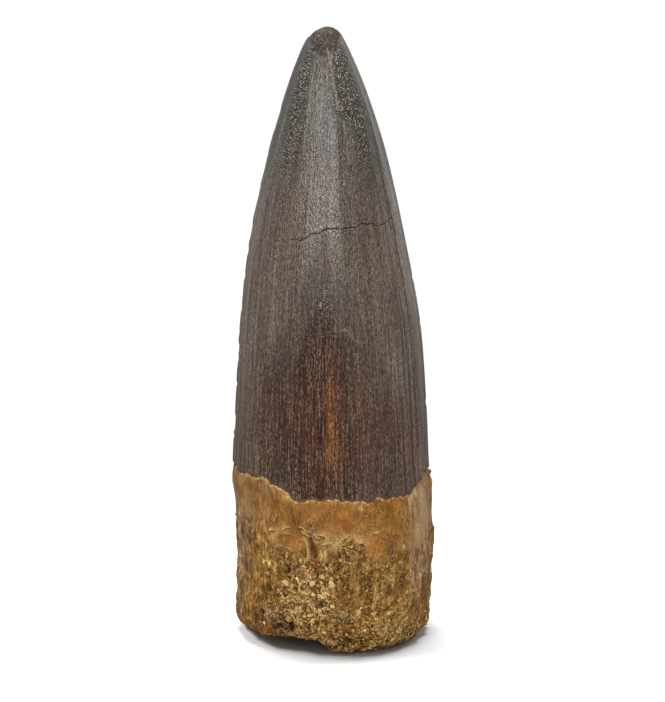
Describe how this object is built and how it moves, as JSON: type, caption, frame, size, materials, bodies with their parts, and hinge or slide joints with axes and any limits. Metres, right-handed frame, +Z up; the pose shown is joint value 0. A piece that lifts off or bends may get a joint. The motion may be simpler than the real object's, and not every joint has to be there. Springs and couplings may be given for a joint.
{
  "type": "spinosaurus tooth",
  "caption": "Tall, nearly straight conical fossil tooth with dark enamel over a sand-crusted root stump, standing on its broken end.",
  "frame": {"origin": "on the ground under the middle of the tooth, where it stands on the broken end of its root", "axes": "+Z up from the root to the tip; +X across the broad face; -Y out of the clean face; the two cutting ridges lie towards +X and -X"},
  "size_m": [0.0405, 0.0339, 0.12],
  "materials": {
    "enamel": "satin",
    "root": "satin",
    "sand": "matte"
  },
  "bodies": {
    "root": {"tooth": "enamel"}
  },
  "joints": []
}
